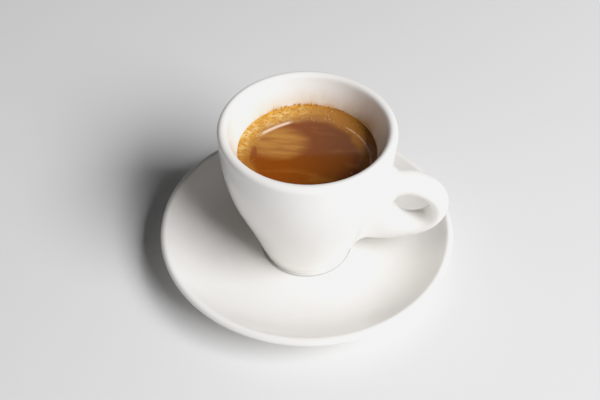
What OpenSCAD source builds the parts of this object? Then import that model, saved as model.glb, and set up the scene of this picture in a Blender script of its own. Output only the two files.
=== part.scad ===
// Espresso shot in a thick white porcelain cup on its saucer.
// Millimetres, +Z up. The saucer stands on z = 0 with its centre on the Z axis; the handle points along +X.

/* [Saucer] */
// Saucer diameter over its rim
saucer_diameter = 115; // [105:1:125]
// Height of the saucer's rim above the table
saucer_height = 16.8; // [14:0.2:20]
// Thickness of the rounded edge
saucer_edge = 3.1; // [2.4:0.1:4]
// Height of the floor that the cup stands on
saucer_floor = 5; // [4.4:0.1:6]
// Radius at which the floor starts to rise
saucer_flat_radius = 26; // [22:1:30]
// Slope of the dish just inside its rim, in degrees
saucer_rise = 37; // [28:1:42]
// Outer radius of the ring under the saucer
saucer_ring_radius = 34; // [30:1:38]
// Width of the ring under the saucer
saucer_ring_width = 3.4; // [2.4:0.2:5]
// Height of the ring under the saucer
saucer_ring_height = 1.6; // [1:0.1:2]

/* [Cup] */
// Height of the cup from its foot to the top of its lip
cup_height = 62.7; // [58:0.1:66]
// Outer radius at the lip
cup_radius = 32.4; // [31:0.1:34]
// Thickness of the rounded lip
lip_thickness = 3.74; // [3:0.02:4.4]
// Outer radius of the foot
foot_radius = 17.4; // [16:0.1:18]
// Height of the foot
foot_height = 2.4; // [1.6:0.1:3]
// Width of the ring that the cup stands on
foot_ring_width = 2.8; // [2:0.1:4]
// Depth of the hollow inside that ring
foot_hollow = 1.2; // [0.6:0.1:2]
// Radius of the body where it leaves the foot
waist_radius = 18.1; // [17.6:0.1:19]
// Inner radius at the height of the drink
bore_at_drink = 25.5; // [24.5:0.1:26.5]
// Thickness of the cup's bottom above the table side of the foot
cup_bottom = 6.5; // [5:0.1:8]

/* [Handle] */
// Width of the handle from side to side
handle_width = 11.2; // [9:0.1:13]
// Distance from the cup's axis to the middle of the handle's oval
handle_oval_out = 27; // [26:0.1:28]
// Height of the middle of the handle's oval above the foot
handle_oval_up = 24.7; // [23:0.1:27]
// Half length of the handle's oval
handle_oval_length = 27.4; // [25:0.1:28]
// Half height of the handle's oval
handle_oval_height = 17.4; // [16:0.1:18.5]
// Upward tilt of the handle's oval, in degrees
handle_oval_tilt = 9; // [0:1:14]
// Distance from the cup's axis to the middle of the finger hole
hole_out = 40; // [39:0.1:41]
// Height of the middle of the finger hole above the foot
hole_up = 26.6; // [25:0.1:28]
// Half length of the finger hole
hole_length = 7.8; // [7:0.1:8.4]
// Half height of the finger hole
hole_height = 5.6; // [5:0.1:6.4]
// Downward slant of the finger hole, in degrees
hole_slant = 46; // [30:1:60]
// Depth to which the handle's root runs into the wall
root_depth = 3.6; // [2.5:0.1:4.5]

/* [Drink] */
// Distance from the top of the lip down to the drink
head_space = 12; // [10:0.1:16]
// Thickness of the foam on top
crema_thickness = 2.4; // [1.5:0.1:4]

/* [Hidden] */
$fn = 96;
curve_steps = 14;
under_steps = 10;
side_steps = 18;
inner_steps = 12;
lip_steps = 8;
edge_steps = 7;
handle_stations = 44;
handle_sides = 18;
saucer_radius = saucer_diameter / 2;
edge_radius = saucer_edge / 2;
edge_centre = [saucer_radius - edge_radius, saucer_height - edge_radius];
lip_radius = lip_thickness / 2;
lip_centre = [cup_radius - lip_radius, cup_height - lip_radius];
drink_level = cup_height - head_space;
crema_base = drink_level - crema_thickness;
foot_rounding = 0.6;
foot_draft = 0.1;
foot_chamfer = 0.8;
waist_height = foot_height + 0.8;
ring_chamfer = 0.5;
ring_fillet = 2;
hole_centre = [hole_out, hole_up];

// How far the saucer's curves keep the direction of each of their ends
floor_pull = 15;
rim_pull = 9;
under_rim_pull = 12;
under_ring_pull = [8, 0.4];

// The two points that pull the cup's side into its tulip shape
belly_pull = [cup_radius - 5.7, cup_height / 2];
shoulder_pull = [cup_radius - 0.9, cup_height / 2 - 1.2];

// How far the bore keeps its lean below the drink, and how wide its rounded bottom is
bore_pull = 14;
bottom_pull = foot_radius + 3;

// Slope of the cup's side from the vertical where the handle joins it, in degrees
side_slope = 17.5;
// A point of the cup's side between the handle's roots: radius and height above the foot
side_point = [25.6, 24];

// Point of a cubic curve at t, from 0 to 1
function bezier(a, b, c, d, t) =
    pow(1 - t, 3) * a + 3 * t * pow(1 - t, 2) * b + 3 * t * t * (1 - t) * c + pow(t, 3) * d;

function curve(a, b, c, d, steps) = [for (i = [0:steps]) bezier(a, b, c, d, i / steps)];

function arc(centre, radius, from, to, steps) =
    [for (i = [0:steps]) let (a = from + (to - from) * i / steps) centre + radius * [cos(a), sin(a)]];

function along(angle) = [cos(angle), sin(angle)];

// ---- Saucer: a dish that rises in one concave sweep to a rounded edge, on a low ring
saucer_top_end = edge_centre + edge_radius * along(90 + saucer_rise);
saucer_under_start = edge_centre + edge_radius * along(saucer_rise - 90);
saucer_under_foot = [saucer_ring_radius + ring_fillet, saucer_ring_height];

saucer_outline = concat(
    [[0, saucer_floor]],
    curve([saucer_flat_radius, saucer_floor], [saucer_flat_radius + floor_pull, saucer_floor],
          saucer_top_end - rim_pull * along(saucer_rise), saucer_top_end, curve_steps),
    arc(edge_centre, edge_radius, 90 + saucer_rise, saucer_rise - 90, edge_steps),
    curve(saucer_under_start, saucer_under_start - under_rim_pull * along(saucer_rise),
          saucer_under_foot + under_ring_pull, saucer_under_foot, under_steps),
    [[saucer_ring_radius, saucer_ring_height - ring_chamfer],
     [saucer_ring_radius - ring_chamfer, 0],
     [saucer_ring_radius - saucer_ring_width + ring_chamfer, 0],
     [saucer_ring_radius - saucer_ring_width, saucer_ring_height],
     [0, saucer_ring_height]]);

module saucer() {
    color([0.94, 0.93, 0.91])
    rotate_extrude()
    polygon(saucer_outline);
}

// ---- Cup: a tulip-shaped body with a thick rounded lip, its bore, and an ear with an oval finger hole
outside = concat(
    [[0, foot_hollow],
     [foot_radius - foot_ring_width - foot_chamfer, foot_hollow],
     [foot_radius - foot_ring_width, 0],
     [foot_radius - foot_rounding, 0],
     [foot_radius, foot_rounding],
     [foot_radius + foot_draft, foot_height]],
    curve([waist_radius, waist_height], belly_pull, shoulder_pull, [cup_radius, lip_centre.y], side_steps),
    arc(lip_centre, lip_radius, 0, 90, lip_steps / 2),
    [[0, cup_height]]);

bore_top = lip_centre - [lip_radius, 0];
bore_neck = [bore_at_drink, drink_level];
bore_lean = (bore_neck - bore_top) / norm(bore_neck - bore_top);
bore_wall = concat(
    [bore_top],
    curve(bore_neck, bore_neck + bore_pull * bore_lean, [bottom_pull, cup_bottom], [0, cup_bottom], inner_steps));
bore = concat(
    [[0, cup_height + 1], [lip_centre.x, cup_height + 1]],
    arc(lip_centre, lip_radius, 90, 180, lip_steps / 2),
    [for (i = [1:len(bore_wall) - 1]) bore_wall[i]]);

// Distance from the hole's centre to an oval's outline, in the direction of angle a
function oval_reach(centre, half, tilt, a) =
    let (from = hole_centre - centre,
         start = [from * along(tilt) / half.x, from * along(tilt + 90) / half.y],
         step = [cos(a - tilt) / half.x, sin(a - tilt) / half.y],
         squared = step * step,
         across = step * start,
         rest = start * start - 1)
    (sqrt(across * across - squared * rest) - across) / squared;

// The same to a line inside the cup's wall, which the handle's root doesn't pass
function root_reach(a) =
    let (outward = along(-side_slope),
         gap = (side_point - root_depth * outward - hole_centre) * outward,
         lean = along(a) * outward)
    lean < -0.05 ? gap / lean : 1000;

function outer_reach(a) =
    min(oval_reach([handle_oval_out, handle_oval_up], [handle_oval_length, handle_oval_height],
                   handle_oval_tilt, a),
        root_reach(a));
function inner_reach(a) = oval_reach(hole_centre, [hole_length, hole_height], -hole_slant, a);

// One oval section of the handle at angle a round the hole: points [outwards, sideways, up]
function handle_section(a) =
    let (middle = (outer_reach(a) + inner_reach(a)) / 2,
         half = (outer_reach(a) - inner_reach(a)) / 2)
    [for (i = [0:handle_sides - 1])
        let (turn = 360 * i / handle_sides,
             flat = hole_centre + (middle + half * cos(turn)) * along(a))
        [flat.x, handle_width / 2 * sin(turn), flat.y]];

module handle() {
    points = [for (s = [0:handle_stations - 1]) each handle_section(360 * s / handle_stations)];
    faces = [for (s = [0:handle_stations - 1], i = [0:handle_sides - 1])
        let (t = (s + 1) % handle_stations,
             j = (i + 1) % handle_sides)
        each [[s * handle_sides + i, t * handle_sides + i, t * handle_sides + j],
              [s * handle_sides + i, t * handle_sides + j, s * handle_sides + j]]];
    polyhedron(points, faces);
}

module cup() {
    color([0.95, 0.94, 0.92])
    translate([0, 0, saucer_floor])
    difference() {
        union() {
            rotate_extrude()
            polygon(outside);
            handle();
        }
        rotate_extrude()
        polygon(bore);
    }
}

// ---- Drink: the coffee fills the bore up to its foam
function bore_radius_at(z, i = 1) =
    let (low = bore_wall[i + 1],
         high = bore_wall[i])
    z >= low.y ? low.x + (high.x - low.x) * (z - low.y) / (high.y - low.y) : bore_radius_at(z, i + 1);

module espresso() {
    color([0.16, 0.07, 0.03])
    translate([0, 0, saucer_floor])
    rotate_extrude()
    polygon(concat(
        [[0, crema_base], [bore_radius_at(crema_base), crema_base]],
        [for (p = bore_wall) if (p.y < crema_base) p]));
}

module crema() {
    color([0.66, 0.39, 0.13])
    translate([0, 0, saucer_floor])
    rotate_extrude()
    polygon(concat(
        [[0, crema_base], [0, drink_level], bore_neck],
        [for (p = bore_wall) if (p.y < drink_level && p.y > crema_base) p],
        [[bore_radius_at(crema_base), crema_base]]));
}

saucer();
cup();
espresso();
crema();
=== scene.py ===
import math
import random

import bmesh
import bpy
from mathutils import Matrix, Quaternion, Vector


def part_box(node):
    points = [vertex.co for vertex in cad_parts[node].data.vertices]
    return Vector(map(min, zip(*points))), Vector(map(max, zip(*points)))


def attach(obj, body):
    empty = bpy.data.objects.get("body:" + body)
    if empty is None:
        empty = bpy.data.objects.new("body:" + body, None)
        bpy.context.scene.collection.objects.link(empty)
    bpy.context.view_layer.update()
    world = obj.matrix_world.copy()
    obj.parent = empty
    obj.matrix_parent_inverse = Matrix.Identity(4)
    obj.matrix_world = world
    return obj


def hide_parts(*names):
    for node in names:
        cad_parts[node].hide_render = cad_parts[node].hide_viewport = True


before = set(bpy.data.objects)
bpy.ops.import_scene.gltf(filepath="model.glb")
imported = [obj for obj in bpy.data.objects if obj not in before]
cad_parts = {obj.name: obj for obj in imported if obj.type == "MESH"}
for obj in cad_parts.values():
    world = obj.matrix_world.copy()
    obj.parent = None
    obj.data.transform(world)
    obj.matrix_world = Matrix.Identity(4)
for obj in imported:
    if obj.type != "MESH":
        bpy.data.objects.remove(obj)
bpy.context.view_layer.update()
mm = 0.001
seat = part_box("cup")[0][2]  # the cup's foot stands here, on the saucer's floor
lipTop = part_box("cup")[1][2]
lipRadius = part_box("cup")[1][1]
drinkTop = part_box("crema")[1][2]
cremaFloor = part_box("crema")[0][2]
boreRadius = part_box("crema")[1][0]
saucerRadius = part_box("saucer")[1][0]
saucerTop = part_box("saucer")[1][2]
print("frame loaded")


def deselectAll():
    if bpy.context.mode != "OBJECT":
        bpy.ops.object.mode_set(mode="OBJECT")
    bpy.ops.object.select_all(action="DESELECT")


def curvePoint(a, b, c, d, t):
    # the point at t, from 0 to 1, on a curve from a to d that b and c pull
    weights = ((1 - t) ** 3, 3 * t * (1 - t) ** 2, 3 * t * t * (1 - t), t ** 3)
    return tuple(sum(w * part for w, part in zip(weights, parts)) for parts in zip(a, b, c, d))


def bezier(a, b, c, d, steps):
    return [curvePoint(a, b, c, d, i / steps) for i in range(steps + 1)]


def swell(turn):
    # subdivision draws a ring's corners in, so rings with this turn between corners start wider
    return 3 / (2 + math.cos(turn))


def arc(centre, radius, start, end, steps):
    turn = math.radians(end - start) / steps
    reach = radius * swell(turn)
    angles = [math.radians(start) + turn * i for i in range(steps + 1)]
    return [(centre[0] + reach * math.cos(a), centre[1] + reach * math.sin(a)) for a in angles]


def along(degrees):
    return Vector((math.cos(math.radians(degrees)), math.sin(math.radians(degrees))))


def pickVerts(piece, test):
    # selects, in edit mode, what lies where the test says
    mesh = bmesh.from_edit_mesh(piece.data)
    bpy.ops.mesh.select_mode(type="VERT")
    for vert in mesh.verts:
        vert.select = test(vert.co)
    mesh.select_flush_mode()
    bmesh.update_edit_mesh(piece.data)


def pickFaces(piece, test):
    mesh = bmesh.from_edit_mesh(piece.data)
    bpy.ops.mesh.select_mode(type="FACE")
    for face in mesh.faces:
        face.select = test(face.calc_center_median(), face.normal)
    mesh.select_flush_mode()
    bmesh.update_edit_mesh(piece.data)


def turnOnWheel(name, outline, segments):
    # pulls a disc up along an outline of (radius, height), as clay is pulled on a wheel
    spread = swell(2 * math.pi / segments)
    rings = [(r * mm * spread, z * mm) for r, z in outline]
    deselectAll()
    bpy.ops.mesh.primitive_circle_add(
        vertices=segments, radius=rings[0][0], fill_type="TRIFAN", location=(0, 0, rings[0][1]))
    bpy.ops.object.transform_apply(location=True)
    piece = bpy.context.object
    piece.name = name
    bpy.ops.object.mode_set(mode="EDIT")
    pickVerts(piece, lambda co: co.xy.length > rings[0][0] / 2)
    radius, height = rings[0]
    for nextRadius, nextHeight in rings[1:]:
        bpy.ops.mesh.extrude_region_move(
            TRANSFORM_OT_translate={"value": (0, 0, nextHeight - height)})
        if nextRadius > 0:
            stretch = nextRadius / radius
            bpy.ops.transform.resize(value=(stretch, stretch, 1), center_override=(0, 0, nextHeight))
        else:
            bpy.ops.mesh.merge(type="COLLAPSE")
        radius, height = nextRadius, nextHeight
    bpy.ops.mesh.select_all(action="SELECT")
    bpy.ops.mesh.remove_doubles(threshold=1e-6)
    bpy.ops.mesh.normals_make_consistent(inside=False)
    bpy.ops.object.mode_set(mode="OBJECT")
    return piece


def smoothOut(piece, levels):
    deselectAll()
    bpy.context.view_layer.objects.active = piece
    piece.select_set(True)
    rounding = piece.modifiers.new("rounding", "SUBSURF")
    rounding.levels = levels
    rounding.render_levels = levels
    bpy.ops.object.modifier_apply(modifier=rounding.name)
    bpy.ops.object.shade_smooth()


class Wire:
    # a shader socket that can be used in sums, such as 1 - mask

    def __init__(self, socket):
        self.socket = socket

    def node(self, kind, settings, values, output=0):
        tree = self.socket.id_data
        made = tree.nodes.new(kind)
        for name, value in settings.items():
            setattr(made, name, value)
        for plug, value in values.items():
            if isinstance(value, Wire):
                tree.links.new(value.socket, made.inputs[plug])
            else:
                made.inputs[plug].default_value = value
        return Wire(made.outputs[output])

    def maths(self, operation, first, second=0.0):
        return self.node("ShaderNodeMath", {"operation": operation}, {0: first, 1: second})

    def __add__(self, other):
        return self.maths("ADD", self, other)

    def __sub__(self, other):
        return self.maths("SUBTRACT", self, other)

    def __rsub__(self, other):
        return self.maths("SUBTRACT", other, self)

    def __mul__(self, other):
        return self.maths("MULTIPLY", self, other)

    def __truediv__(self, other):
        return self.maths("DIVIDE", self, other)

    __radd__ = __add__
    __rmul__ = __mul__

    def __abs__(self):
        return self.maths("ABSOLUTE", self)

    def root(self):
        return self.maths("SQRT", self)

    def capped(self, most):
        return self.maths("MINIMUM", self, most)

    def step(self, low, high):
        # rises softly from 0 at low to 1 at high
        return self.node("ShaderNodeMapRange", {"interpolation_type": "SMOOTHSTEP"},
                         {"Value": self, "From Min": low, "From Max": high})

    def tint(self, first, second):
        # first colour where this is 0, second where it is 1
        ends = {}
        for plug, color in ((6, first), (7, second)):
            ends[plug] = color if isinstance(color, Wire) else (*color, 1)
        return self.node("ShaderNodeMix", {"data_type": "RGBA"}, {0: self, **ends}, 2)

    def speckle(self, size, detail=2.0, rough=0.5):
        # soft noise with blobs of about this size, in metres
        return self.node("ShaderNodeTexNoise", {}, {
            "Vector": self, "Scale": 1 / size, "Detail": detail, "Roughness": rough})

    def cells(self, size):
        # distance from the middle of the nearest cell
        return self.node("ShaderNodeTexVoronoi", {}, {"Vector": self, "Scale": 1 / size})

    def bump(self, height, strength):
        return self.node("ShaderNodeBump", {}, {"Height": self, "Distance": height, "Strength": strength})

    def stretch(self, turn, scale, move=(0, 0, 0)):
        return self.node("ShaderNodeMapping", {}, {
            "Vector": self, "Rotation": (0, 0, math.radians(turn)), "Scale": scale, "Location": move})


def newFinish(name, settings):
    # a material, its shader and the place on the piece
    material = bpy.data.materials.new(name)
    material.use_nodes = True
    tree = material.node_tree
    shader = tree.nodes["Principled BSDF"]
    for plug, value in settings.items():
        shader.inputs[plug].default_value = value
    place = Wire(tree.nodes.new("ShaderNodeTexCoord").outputs["Object"])
    return material, shader, place


def feed(shader, **wires):
    names = {"color": "Base Color", "roughness": "Roughness", "coat": "Coat Weight", "normal": "Normal"}
    for name, wire in wires.items():
        shader.id_data.links.new(wire.socket, shader.inputs[names[name]])


def measure(place):
    # x, y, z in millimetres, and the distance from the cup's axis
    split = place.node("ShaderNodeSeparateXYZ", {}, {0: place})
    axes = [Wire(split.socket.node.outputs[i]) * 1000 for i in range(3)]
    x, y, z = axes
    out = (x * x + y * y).root()
    return x, y, z, out


def oval(x, y, middle, half):
    # 0 at the middle of an oval and 1 on its outline
    u = (x - middle[0]) / half[0]
    v = (y - middle[1]) / half[1]
    return u * u + v * v


def dress(piece, material):
    piece.data.materials.clear()
    piece.data.materials.append(material)


saucerShape = {
    "floor": 5.0,            # height of the floor under the cup
    "flatRadius": 26.0,      # where the dish starts to rise
    "floorPull": 15.0,       # how far the dish keeps the direction of its floor, and of its rim
    "rimPull": 9.0,
    "underPull": 12.0,       # the same for the underside
    "underFoot": (10.0, 0.4),
    "rise": 37.0,            # slope inside the rim, degrees
    "edge": 3.1,             # thickness of the rounded rim
    "ringRadius": 34.0,      # low ring underneath
    "ringWidth": 3.4,
    "ringHeight": 1.6,
    "segments": 64,
}


def makeSaucer(shape):
    half = shape["edge"] / 2
    rim = Vector((saucerRadius / mm - half, saucerTop / mm - half))
    floor = shape["floor"]
    ring = shape["ringRadius"]
    inner = ring - shape["ringWidth"]
    low = shape["ringHeight"]
    topEnd = rim + half * along(90 + shape["rise"])
    underStart = rim + half * along(shape["rise"] - 90)
    top = bezier((shape["flatRadius"], floor), (shape["flatRadius"] + shape["floorPull"], floor),
                 topEnd - shape["rimPull"] * along(shape["rise"]), topEnd, 10)
    footOut, footUp = shape["underFoot"]
    under = bezier(underStart, underStart - shape["underPull"] * along(shape["rise"]),
                   (ring + footOut, low + footUp), (ring + 2, low), 8)
    # from the middle of the underside, round the ring and the rim, to the middle of the dish
    outline = [(inner * 0.4, low), (inner - 0.9, low), (inner - 0.1, low - 0.1), (inner + 0.15, 0.25),
               (inner + 0.5, 0.0), (ring - 0.5, 0.0), (ring - 0.15, 0.25), (ring, low - 0.4)]
    outline += list(reversed(under))[:-1]
    outline += list(reversed(arc(rim, half, 90 + shape["rise"], shape["rise"] - 90, 7)))
    outline += list(reversed(top))[1:]
    outline += [(18.0, floor), (9.0, floor), (0.0, floor)]
    saucer = turnOnWheel("saucerDish", outline, shape["segments"])
    smoothOut(saucer, 2)
    return saucer


saucer = makeSaucer(saucerShape)
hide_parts("saucer")
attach(saucer, "root")
print("saucer turned")


cupShape = {
    "footRadius": 17.4,
    "footWidth": 2.8,         # ring that the cup stands on
    "footHollow": 1.2,
    "footHeight": 2.4,
    "waist": (18.1, 3.2),     # radius and height where the body leaves the foot
    "belly": (26.7, 31.35),   # these two pull the side into its tulip shape
    "shoulder": (31.5, 30.15),
    "lip": 3.74,              # thickness of the rounded lip
    "bottomRadius": 20.4,     # rounded bottom of the bore
    "bottom": 6.5,
    "borePull": 14.0,         # how far the bore keeps its lean below the drink
    "segments": 48,
    "rootRows": (0.075, 0.76, 8),  # where the handle is let into the side: from, to, rows
    "rootColumns": 4,         # and how many segments wide
}
handleShape = {
    "width": 11.2,
    "oval": (27.0, 24.7),     # middle of the ear's oval
    "ovalHalf": (27.4, 17.4),
    "ovalTilt": 9.0,
    "hole": (40.0, 26.6),     # middle of the finger hole
    "holeHalf": (7.8, 5.6),
    "holeTilt": -46.0,
    "rootFrom": 124.0,        # the part of the ring that faces the cup, degrees round the hole
    "rootTo": 229.0,
    "gap": 1.3,               # left between ring and cup for the soft joint
    "restStations": 12,       # rings round the free part
    "ease": 7,                # how often the joint is smoothed
    "easeReach": (-0.6, 3.4),  # how far in and out from the side
    "easePast": (9.5, 5.0),   # how far to each side of the handle, and above and below it
    "sides": 8,
}


def sidePoint(shape, t):
    # radius and height of the cup's side, from its waist at 0 to its lip at 1
    top = (lipRadius / mm, (lipTop - seat) / mm - shape["lip"] / 2)
    return curvePoint(shape["waist"], shape["belly"], shape["shoulder"], top, t)


def sideRadius(shape, z):
    low, high = 0.0, 1.0
    for _ in range(24):
        middle = (low + high) / 2
        if sidePoint(shape, middle)[1] < z:
            low = middle
        else:
            high = middle
    return sidePoint(shape, low)[0]


def ovalReach(centre, half, tilt, hole, angle):
    # how far the outline of an oval lies from the hole's middle
    start = Vector(hole) - Vector(centre)
    u = Vector((start @ along(tilt) / half[0], start @ along(tilt + 90) / half[1]))
    step = along(angle - tilt)
    v = Vector((step.x / half[0], step.y / half[1]))
    return (math.sqrt((v @ u) ** 2 - v.length_squared * (u.length_squared - 1)) - v @ u) / v.length_squared


def bodyReach(shape, hole, gap, angle):
    # how far the cup's side lies from the hole's middle
    out = 0.0
    point = Vector(hole)
    while point.x > sideRadius(shape, point.y) + gap and out < lipRadius / mm:
        out += 0.1
        point = Vector(hole) + out * along(angle)
    return out


def makeBody(shape):
    half = shape["lip"] / 2
    tall = (lipTop - seat) / mm
    lipMiddle = (lipRadius / mm - half, tall - half)
    drinkAt = (drinkTop - seat) / mm
    first, last, rows = shape["rootRows"]
    foot = shape["footRadius"]
    inner = foot - shape["footWidth"]
    steps = [first + (last - first) * i / rows for i in range(rows + 1)]
    steps += [last + (1 - last) * i / 4 for i in (1, 2, 3, 3.7)]
    side = [shape["waist"]] + [sidePoint(shape, t) for t in steps]
    bore = Vector((boreRadius / mm, drinkAt))
    mouth = Vector((lipMiddle[0] - half, lipMiddle[1]))
    lean = (bore - mouth).normalized()
    bottom = shape["bottom"]
    inside = bezier(bore, bore + shape["borePull"] * lean, (shape["bottomRadius"], bottom), (0, bottom), 12)
    hollow = shape["footHollow"]
    outline = [(inner * 0.5, hollow), (inner - 1.4, hollow), (inner - 0.7, hollow - 0.1),
               (inner - 0.2, 0.3), (inner + 0.3, 0.0),
               (foot - 1.3, 0.0), (foot - 0.45, 0.3), (foot - 0.05, 1.1), (foot + 0.04, 1.9),
               (foot + 0.2, shape["footHeight"] + 0.1)]
    outline += side
    outline += arc(lipMiddle, half, 0, 180, 6)
    outline += [tuple(mouth.lerp(bore, k)) for k in (0.2, 0.45, 0.72)]
    outline += inside
    outline = [(r, z + seat / mm) for r, z in outline]
    return turnOnWheel("cupBody", outline, shape["segments"])


def makeHandleRing(shape, body):
    rows = body["rootRows"][2]
    facing = [shape["rootFrom"] + (shape["rootTo"] - shape["rootFrom"]) * i / rows for i in range(rows + 1)]
    sweep = 360 - (shape["rootTo"] - shape["rootFrom"])
    free = [shape["rootTo"] + sweep * i / shape["restStations"] for i in range(1, shape["restStations"])]
    spread = swell(2 * math.pi / shape["sides"])
    hole = Vector(shape["hole"])
    deselectAll()
    for count, angle in enumerate(facing + free):
        inner = ovalReach(shape["hole"], shape["holeHalf"], shape["holeTilt"], shape["hole"], angle)
        outer = ovalReach(shape["oval"], shape["ovalHalf"], shape["ovalTilt"], shape["hole"], angle)
        turn = math.radians(sweep / shape["restStations"] if angle in free else (360 - sweep) / rows)
        inner *= swell(turn)
        outer *= swell(turn)
        if angle in facing:
            outer = min(outer, bodyReach(body, shape["hole"], shape["gap"], angle))
        middle = hole + along(angle) * (inner + outer) / 2
        bpy.ops.mesh.primitive_circle_add(
            vertices=shape["sides"], radius=(outer - inner) / 2 * spread * mm, fill_type="NOTHING",
            location=(middle.x * mm, 0, middle.y * mm + seat), rotation=(0, -math.radians(angle), 0))
        if count == 0:
            bpy.ops.object.transform_apply(location=True, rotation=True)
            ring = bpy.context.object
            ring.name = "handleRing"
            bpy.ops.object.mode_set(mode="EDIT")
            bpy.ops.mesh.select_all(action="SELECT")
        bpy.ops.transform.resize(value=(1, shape["width"] / (outer - inner), 1), center_override=(0, 0, 0))
    bpy.ops.mesh.select_all(action="SELECT")
    bpy.ops.mesh.bridge_edge_loops(type="CLOSED")
    bpy.ops.mesh.select_all(action="SELECT")
    bpy.ops.mesh.normals_make_consistent(inside=False)

    # opens the ring's back where it meets the cup
    def facesCup(centre, normal):
        out = Vector((centre.x / mm, (centre.z - seat) / mm)) - hole
        angle = math.degrees(math.atan2(out.y, out.x)) % 360
        away = Vector((normal.x, normal.z)) @ out.normalized()
        return shape["rootFrom"] < angle < shape["rootTo"] and away > 0.05

    pickFaces(ring, facesCup)
    bpy.ops.mesh.delete(type="FACE")
    bpy.ops.object.mode_set(mode="OBJECT")
    return ring


def makeCup(shape, handle):
    cup = makeBody(shape)
    first, last, rows = shape["rootRows"]
    low = sidePoint(shape, first)[1] * mm + seat
    high = sidePoint(shape, last)[1] * mm + seat
    reach = math.pi * shape["rootColumns"] / shape["segments"]

    def underHandle(centre, normal):
        return (abs(math.atan2(centre.y, centre.x)) < reach and low < centre.z < high
                and normal.x > 0.5)

    bpy.context.view_layer.objects.active = cup
    bpy.ops.object.mode_set(mode="EDIT")
    pickFaces(cup, underHandle)
    bpy.ops.mesh.delete(type="FACE")
    ring = makeHandleRing(handle, shape)
    deselectAll()
    ring.select_set(True)
    cup.select_set(True)
    bpy.context.view_layer.objects.active = cup
    bpy.ops.object.join()
    bpy.ops.object.mode_set(mode="EDIT")
    bpy.ops.mesh.select_mode(type="EDGE")
    bpy.ops.mesh.select_all(action="DESELECT")
    bpy.ops.mesh.select_non_manifold()
    bpy.ops.mesh.bridge_edge_loops()
    bpy.ops.mesh.select_all(action="SELECT")
    bpy.ops.mesh.normals_make_consistent(inside=False)
    bpy.ops.object.mode_set(mode="OBJECT")
    smoothOut(cup, 1)

    # eases the joint between handle and side, as a wet sponge does
    def inJoint(co):
        z = (co.z - seat) / mm
        away = co.xy.length / mm - sideRadius(shape, z)
        nearest, farthest = handle["easeReach"]
        aside, past = (reach * mm for reach in handle["easePast"])
        return (co.x > 0 and abs(co.y) < aside and low - past < co.z < high + past
                and nearest < away < farthest)

    bpy.ops.object.mode_set(mode="EDIT")
    pickVerts(cup, inJoint)
    bpy.ops.mesh.vertices_smooth(factor=0.5, repeat=handle["ease"])
    bpy.ops.object.mode_set(mode="OBJECT")
    smoothOut(cup, 1)
    cup.name = "cupWithHandle"
    return cup


cup = makeCup(cupShape, handleShape)
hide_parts("cup")
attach(cup, "root")
print("cup turned, handle joined")


glaze = {
    "white": (0.91, 0.885, 0.85),
    "shade": (0.88, 0.85, 0.81),       # where the glaze lies a little thicker
    "bare": (0.78, 0.75, 0.70),        # unglazed ring under the foot
    "film": (0.60, 0.36, 0.17),        # thin coffee left on the inside, and painted reflected light from the coffee on the shaded right wall
    "crevice": (0.44, 0.44, 0.43),     # painted contact shade: a fine dark line on the saucer where the foot stands
    "creviceRadius": 17.65,
    "gloss": 0.11,
    "waves": 0.00006,                  # depth of the slow unevenness, metres
    "filmStrength": {"far": 0.68, "right": 0.5, "edge": 0.3, "spot": 0.5},  # by place on the inner wall; at the right it is mostly painted reflected light
}


def paintedContactShade(look, place, color):
    # painted shade: the fine dark line of the contact shadow round the cup's foot on the saucer's floor
    _, _, z, out = measure(place)
    floorHeight = seat / mm
    line = abs(out - look["creviceRadius"]).step(0.7, 0.2) * z.step(floorHeight - 1, floorHeight - 0.2)
    return line.tint(color, look["crevice"])


def coffeeFilmAndReflection(look, place, color):
    # where coffee ran up the inside, with ragged upper edges: at the back, at the right and along the
    # drink; the brown at the right is mostly painted reflected light from the coffee on the shaded wall,
    # with some thin film
    x, y, z, out = measure(place)
    level = drinkTop / mm
    middleOfLip = lipRadius / mm - 2.2
    strength = look["filmStrength"]
    inside = out.step(middleOfLip, middleOfLip - 0.7) * z.step(level - 3, level - 1.2)
    ragged = place.stretch(0, (1, 1, 0.35)).speckle(0.006, 4.0, 0.6)
    rise = z - ragged * 5 + 2.5
    far = y.step(2, 24) * rise.step(level + 8.5, level - 1.5) * strength["far"]
    # painted reflected light: coffee-coloured bounce on the shaded right inner wall, with some thin film
    right = x.step(6, 25) * rise.step(level + 12.5, level + 1.0) * strength["right"]
    edge = rise.step(level + 1.6, level + 0.1) * strength["edge"]
    spot = x.step(-25, -28) * abs(y - 1).step(3, 1) * rise.step(level + 3.0, level) * strength["spot"]
    stainAndReflection = inside * (far + right + edge + spot) * (0.75 + ragged * 0.5)
    return stainAndReflection.capped(1.0).tint(color, look["film"])


def makeGlaze(name, look, bareHeight, addMarksAndPaintedLight):
    material, shader, place = newFinish(name, {"IOR": 1.52, "Specular IOR Level": 0.5})
    z = measure(place)[2]
    cloud = place.speckle(0.018, 3.0)
    color = cloud.step(0.35, 0.75).tint(look["white"], look["shade"])
    bare = z.step(bareHeight + 0.25, bareHeight - 0.05)
    color = (bare * place.speckle(0.002, 4.0).step(0.2, 0.6)).tint(color, look["bare"])
    rough = look["gloss"] + cloud * 0.05 + bare * 0.45
    waves = place.speckle(0.022, 1.0) + place.speckle(0.0011, 2.0) * 0.03
    feed(shader, color=addMarksAndPaintedLight(look, place, color), roughness=rough, normal=waves.bump(look["waves"], 0.7))
    return material


dress(saucer, makeGlaze("saucerGlaze", glaze, 0.0, paintedContactShade))
dress(cup, makeGlaze("cupGlaze", glaze, seat / mm, coffeeFilmAndReflection))
print("porcelain glazed")


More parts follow.
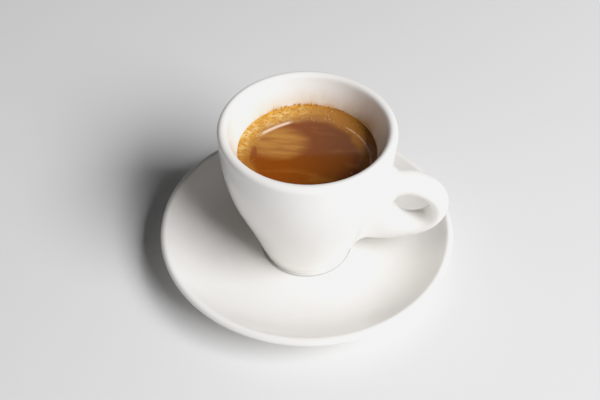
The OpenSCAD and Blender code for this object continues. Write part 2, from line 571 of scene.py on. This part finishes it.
cremaLook = {
    "gold": (0.74, 0.32, 0.022),
    "glintColor": (0.86, 0.50, 0.15),        # painted highlights: bright flecks on the lit left of the foam
    "toast": (0.33, 0.10, 0.006),      # darker flecks
    "edgeAndShadeBrown": (0.24, 0.072, 0.005),     # foam at the right and front darkened as painted shade, and darker foam along the ring's inner edge
    "tan": (0.44, 0.165, 0.020),       # thin foam drawn into the middle
    "amber": (0.175, 0.030, 0.0003),   # bare coffee, left and front
    "shadedCoffee": (0.105, 0.022, 0.0008),    # bare coffee with painted shade, right
    "line": (0.96, 0.62, 0.42),        # painted reflection of the lit lip, a pale line
    "ring": 5.6,                       # width of the foam ring at the sides, mm
    "ringBack": 8.6,                   # and at the back
    "meniscus": 0.16,                  # how far the surface climbs the wall, mm
    "overlap": 0.08,                   # how far the layer reaches into the wall, so that no gap shows
    "sink": 0.05,                      # how far the middle lies below the drink's level, mm
    "gap": ((-19.4, -3.5), (1.48, 5.1)),      # middle and half size of the gap in the ring at the left
    "streaks": ((-11.5, 3.5), (11.8, 9.2)),   # the same of the streaks of thin foam
    "streakTurn": -48,                 # their direction, degrees
    "lipReflection": (-12.6, 11.7),            # middle of the pale line of painted lip reflection at the left
    "lipReflectionHalf": 7.8,
    "rightLipReflection": ((2, -1), 20.8),            # middle and radius of the faint line of painted lip reflection at the right
}
bubbleLook = {
    "count": 620,
    "clinging": 46,                    # beads on the wall above the foam
    "smallest": 0.16,                  # radius, mm
    "largest": 0.52,
    "color": (0.68, 0.30, 0.03),
    # darker bubbles at random, also used as painted shade on the bubbles at the right
    "edge": (0.30, 0.10, 0.007),
}
coffeeLook = {
    "deep": (0.030, 0.009, 0.002),
    "thin": (0.060, 0.018, 0.004),
}


def makeCremaLayer(look):
    # a disc of foam and coffee that fills the bore down to the coffee under it
    wall = boreRadius / mm + look["overlap"]
    top = drinkTop / mm
    low = cremaFloor / mm + 0.02
    rise = look["meniscus"]
    outline = [(wall - 6, low), (wall - 1.6, low), (wall - 0.78, low), (wall - 0.7, low + 0.1),
               (wall - 0.1, top - 0.25), (wall - 0.02, top + rise - 0.04), (wall - 0.10, top + rise - 0.02),
               (wall - 0.35, top + 0.04), (wall - 0.9, top - 0.03)]
    outline += [(wall - inward, top - look["sink"]) for inward in (2, 5, 10, 16, 21, wall)]
    layer = turnOnWheel("cremaLayer", outline, 64)
    smoothOut(layer, 1)
    return layer


def makeCremaFinish(look):
    material, shader, place = newFinish("cremaFinish", {
        "IOR": 1.36, "Coat IOR": 1.45, "Coat Roughness": 0.03, "Specular IOR Level": 0.3})
    x, y, _, out = measure(place)
    broad = place.speckle(0.009, 2.0)
    fine = place.speckle(0.0011, 3.0, 0.6)
    side = look["ring"] - 0.8
    width = side + (look["ringBack"] - side) * y.step(-8, 24) - y.step(-1, -14) * 2.0
    fromWall = boreRadius / mm - out + (broad - 0.5) * 5.0
    ring = (width - fromWall).step(-2.6, 1.6)

    # a short gap at the left where bare coffee shows
    gap = oval(x, y, *look["gap"]).step(1.1, 0.4)

    # streaks of thin foam, drawn from the left into the middle
    drawn = place.stretch(look["streakTurn"], (0.20, 1.1, 1), (0.003, 0.001, 0)).speckle(0.0034, 3.0, 0.6)
    reach = oval(x, y, *look["streaks"]).step(1.35, 0.2)
    tan = reach * (0.42 + drawn.step(0.34, 0.66) * 0.58) * (1 - gap * 0.9)
    wisp = place.stretch(20, (0.3, 1, 1)).speckle(0.005, 4.0).step(0.56, 0.7) * 0.12

    # painted shade: the bare coffee goes darker toward the right, where the cup's wall shades it
    coffee = x.step(-10, 12).tint(look["amber"], look["shadedCoffee"])
    color = (tan * 0.95).tint(coffee, look["tan"])
    color = (wisp * (1 - tan)).tint(color, look["tan"])
    foam = fine.step(0.20, 0.68).tint(look["toast"], look["gold"])
    pits = place.cells(0.0009)
    foam = (pits.step(0.00, 0.42) * 0.25 + 0.75).tint(look["toast"], foam)
    # painted highlights: pale flecks only on the lit left of the foam
    glintFlecks = place.speckle(0.0024, 3.0).step(0.50, 0.66) * 0.85 * x.step(8, -10)
    foam = glintFlecks.tint(foam, look["glintColor"])
    # painted shade: the foam darkens toward the right and the front, where the wall shades the drink; the
    # darker foam along the ring's inner edge is its own tone
    edgeAndShadeBrown = x.step(-12, 9) * 0.88 + (width - fromWall).step(5.0, 0.0) * 0.55 + y.step(8, -8) * 0.5
    foam = edgeAndShadeBrown.capped(0.92).tint(foam, look["edgeAndShadeBrown"])
    color = (ring * (1 - gap * 0.85)).tint(color, foam)

    # two pale lines of painted reflection of the lit lip, that curve along the ring's inner edge
    reflectionX, reflectionY = look["lipReflection"]
    ran = (x - reflectionX) * 0.8 + (y - reflectionY) * 0.6       # distance along the left one
    slip = (x - reflectionX) * 0.6 - (y - reflectionY) * 0.8      # distance from its straight middle line
    bent = slip - ran * ran / 96 + (broad - 0.5) * 0.6
    leftLipReflection = abs(bent).step(1.05, 0.15) * abs(ran).step(look["lipReflectionHalf"], 4.5)
    (arcX, arcY), arcRadius = look["rightLipReflection"]
    rightLipReflection = ((x - arcX) * (x - arcX) + (y - arcY) * (y - arcY)).root() - arcRadius + y * 0.16
    right = abs(rightLipReflection).step(0.55, 0.15) * x.step(12, 16) * y.step(-9, -4)
    color = (leftLipReflection * 0.85 + right * 0.34).tint(color, look["line"])
    height = ring * (fine * 0.5 + pits * 0.9) + tan * drawn * 0.25
    feed(shader, color=color, roughness=0.16 + ring * 0.20, coat=0.62 - ring * 0.4,
         normal=height.bump(0.00012, 0.55))
    return material


def makeBubble():
    # half a bubble, one unit in radius, cut a little below its middle
    deselectAll()
    bpy.ops.mesh.primitive_uv_sphere_add(segments=8, ring_count=5, radius=1, location=(0, 0, 0))
    bubble = bpy.context.object
    bpy.ops.object.mode_set(mode="EDIT")
    bpy.ops.mesh.select_all(action="SELECT")
    bpy.ops.mesh.bisect(plane_co=(0, 0, -0.25), plane_no=(0, 0, 1), clear_inner=True, use_fill=True)
    bpy.ops.object.mode_set(mode="OBJECT")
    bpy.ops.object.shade_smooth()
    return bubble


def copyBubble(first, at, scale, turn):
    copy = first.copy()
    copy.data = first.data.copy()
    bpy.context.collection.objects.link(copy)
    copy.location = at
    copy.scale = scale
    copy.rotation_euler = turn
    return copy


def scatterBubbles(look, crema):
    pick = random.Random(7)
    first = makeBubble()
    copies = []
    top = drinkTop - crema["sink"] * mm
    for _ in range(look["count"]):
        # most lie at the back against the wall, a few all round
        turn = math.radians(pick.gauss(88, 42) if pick.random() < 0.72 else pick.uniform(0, 360))
        size = look["smallest"] + (look["largest"] - look["smallest"]) * pick.random() ** 3
        width = crema["ring"] + (crema["ringBack"] - crema["ring"]) * max(0, math.sin(turn))
        inward = abs(pick.gauss(0, 0.42)) * width
        out = (boreRadius / mm - 0.25 - size * 0.6 - min(inward, width * 0.95)) * mm
        size *= mm
        copies.append(copyBubble(
            first, (out * math.cos(turn), out * math.sin(turn), top - size * 0.25),
            (size, size, size * pick.uniform(0.5, 0.75)), (0, 0, pick.uniform(0, 6))))
    for _ in range(look["clinging"]):
        # beads left on the wall at the back
        turn = math.radians(pick.gauss(88, 17))
        size = pick.uniform(0.22, 0.45) * mm
        lift = pick.random() ** 2 * 0.55 * mm
        out = boreRadius + lift * 0.31 - size * 0.2
        copies.append(copyBubble(
            first, (out * math.cos(turn), out * math.sin(turn), drinkTop + lift),
            (size, size, size), (0, -1.2, turn)))
    bpy.data.objects.remove(first)
    deselectAll()
    for copy in copies:
        copy.select_set(True)
    bpy.context.view_layer.objects.active = copies[0]
    bpy.ops.object.join()
    bpy.ops.object.transform_apply(location=True, rotation=True, scale=True)
    bubbles = bpy.context.object
    bubbles.name = "cremaBubbles"
    return bubbles


def makeBubbleFinish(look):
    material, shader, place = newFinish("bubbleFinish", {
        "Roughness": 0.12, "IOR": 1.36, "Coat Weight": 0.6, "Coat IOR": 1.36, "Coat Roughness": 0.03})
    x = measure(place)[0]
    toneAndShade = place.speckle(0.0009, 2.0, 0.7).step(0.3, 0.68) * x.step(10, -8)  # random tone, with painted shade making them darker to the right
    feed(shader, color=toneAndShade.tint(look["edge"], look["color"]))
    return material


def makeCoffeeFinish(look):
    material, shader, place = newFinish("coffeeFinish", {"Roughness": 0.08, "IOR": 1.34})
    feed(shader, color=place.speckle(0.012, 2.0).step(0.3, 0.7).tint(look["deep"], look["thin"]))
    return material


crema = makeCremaLayer(cremaLook)
dress(crema, makeCremaFinish(cremaLook))
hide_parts("crema")
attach(crema, "root")
bubbles = scatterBubbles(bubbleLook, cremaLook)
dress(bubbles, makeBubbleFinish(bubbleLook))
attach(bubbles, "root")
dress(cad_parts["espresso"], makeCoffeeFinish(coffeeLook))
print("coffee poured")


camera = bpy.data.cameras.new("camera")
camera.lens = 55
camera.sensor_width = 36
camera.clip_start = 0.01
cameraObject = bpy.data.objects.new("camera", camera)
bpy.context.collection.objects.link(cameraObject)
cameraObject.location = (0.0169, -0.2446, 0.2835)
aim = Vector((-0.0022, -0.0054, 0.035))
cameraObject.rotation_euler = (aim - cameraObject.location).to_track_quat("-Z", "Y").to_euler()
bpy.context.scene.camera = cameraObject

deselectAll()
bpy.ops.mesh.primitive_plane_add(size=12, location=(0, 0, 0))
floor = bpy.context.object
floorFinish, floorShader, floorPlace = newFinish("paleFloor", {"Roughness": 0.55})
feed(floorShader, color=floorPlace.speckle(0.12, 4.0).tint((0.81, 0.81, 0.815), (0.77, 0.77, 0.775)))
dress(floor, floorFinish)

lights = {
    # direction, height and lean in degrees, distance, size, watts: a leaning window at the front right
    "window": (-32, 41, 29, 1.45, (1.0, 0.56), 29.8),
    "leftCard": (215, 6, 0, 1.2, (0.9, 0.3), 0.4),
    "backCard": (96, 39.5, 0, 2.0, (0.7, 0.3), 0.16),
}


def hangLight(name, turn, rise, lean, away, size, watts):
    lamp = bpy.data.lights.new(name, "AREA")
    lamp.shape = "RECTANGLE"
    lamp.size, lamp.size_y = size
    lamp.energy = watts
    lampObject = bpy.data.objects.new(name, lamp)
    bpy.context.collection.objects.link(lampObject)
    level = math.cos(math.radians(rise))
    back = Vector((math.cos(math.radians(turn)) * level, math.sin(math.radians(turn)) * level,
                   math.sin(math.radians(rise))))
    lampObject.location = back * away + Vector((0, 0, 0.03))
    leaning = Quaternion((0, 0, 1), math.radians(lean))
    lampObject.rotation_euler = (back.to_track_quat("Z", "Y") @ leaning).to_euler()


for name, (turn, rise, lean, away, size, watts) in lights.items():
    hangLight(name, turn, rise, lean, away, size, watts)
world = bpy.data.worlds.new("room")
bpy.context.scene.world = world
world.use_nodes = True
world.node_tree.nodes["Background"].inputs["Color"].default_value = (1, 1, 1, 1)
world.node_tree.nodes["Background"].inputs["Strength"].default_value = 0.015
print("lights hung")

picture = bpy.context.scene.view_settings
picture.view_transform = "Standard"
picture.gamma = 1.25
picture.use_curve_mapping = True
picture.curve_mapping.use_clip = False
whites = picture.curve_mapping.curves[3]  # lets the whites come up gently
whites.points[1].location = (2.0, 1.0)
for at in ((0.6, 0.6), (0.8, 0.765), (1.0, 0.875), (1.25, 0.945)):
    whites.points.new(*at)
picture.curve_mapping.update()
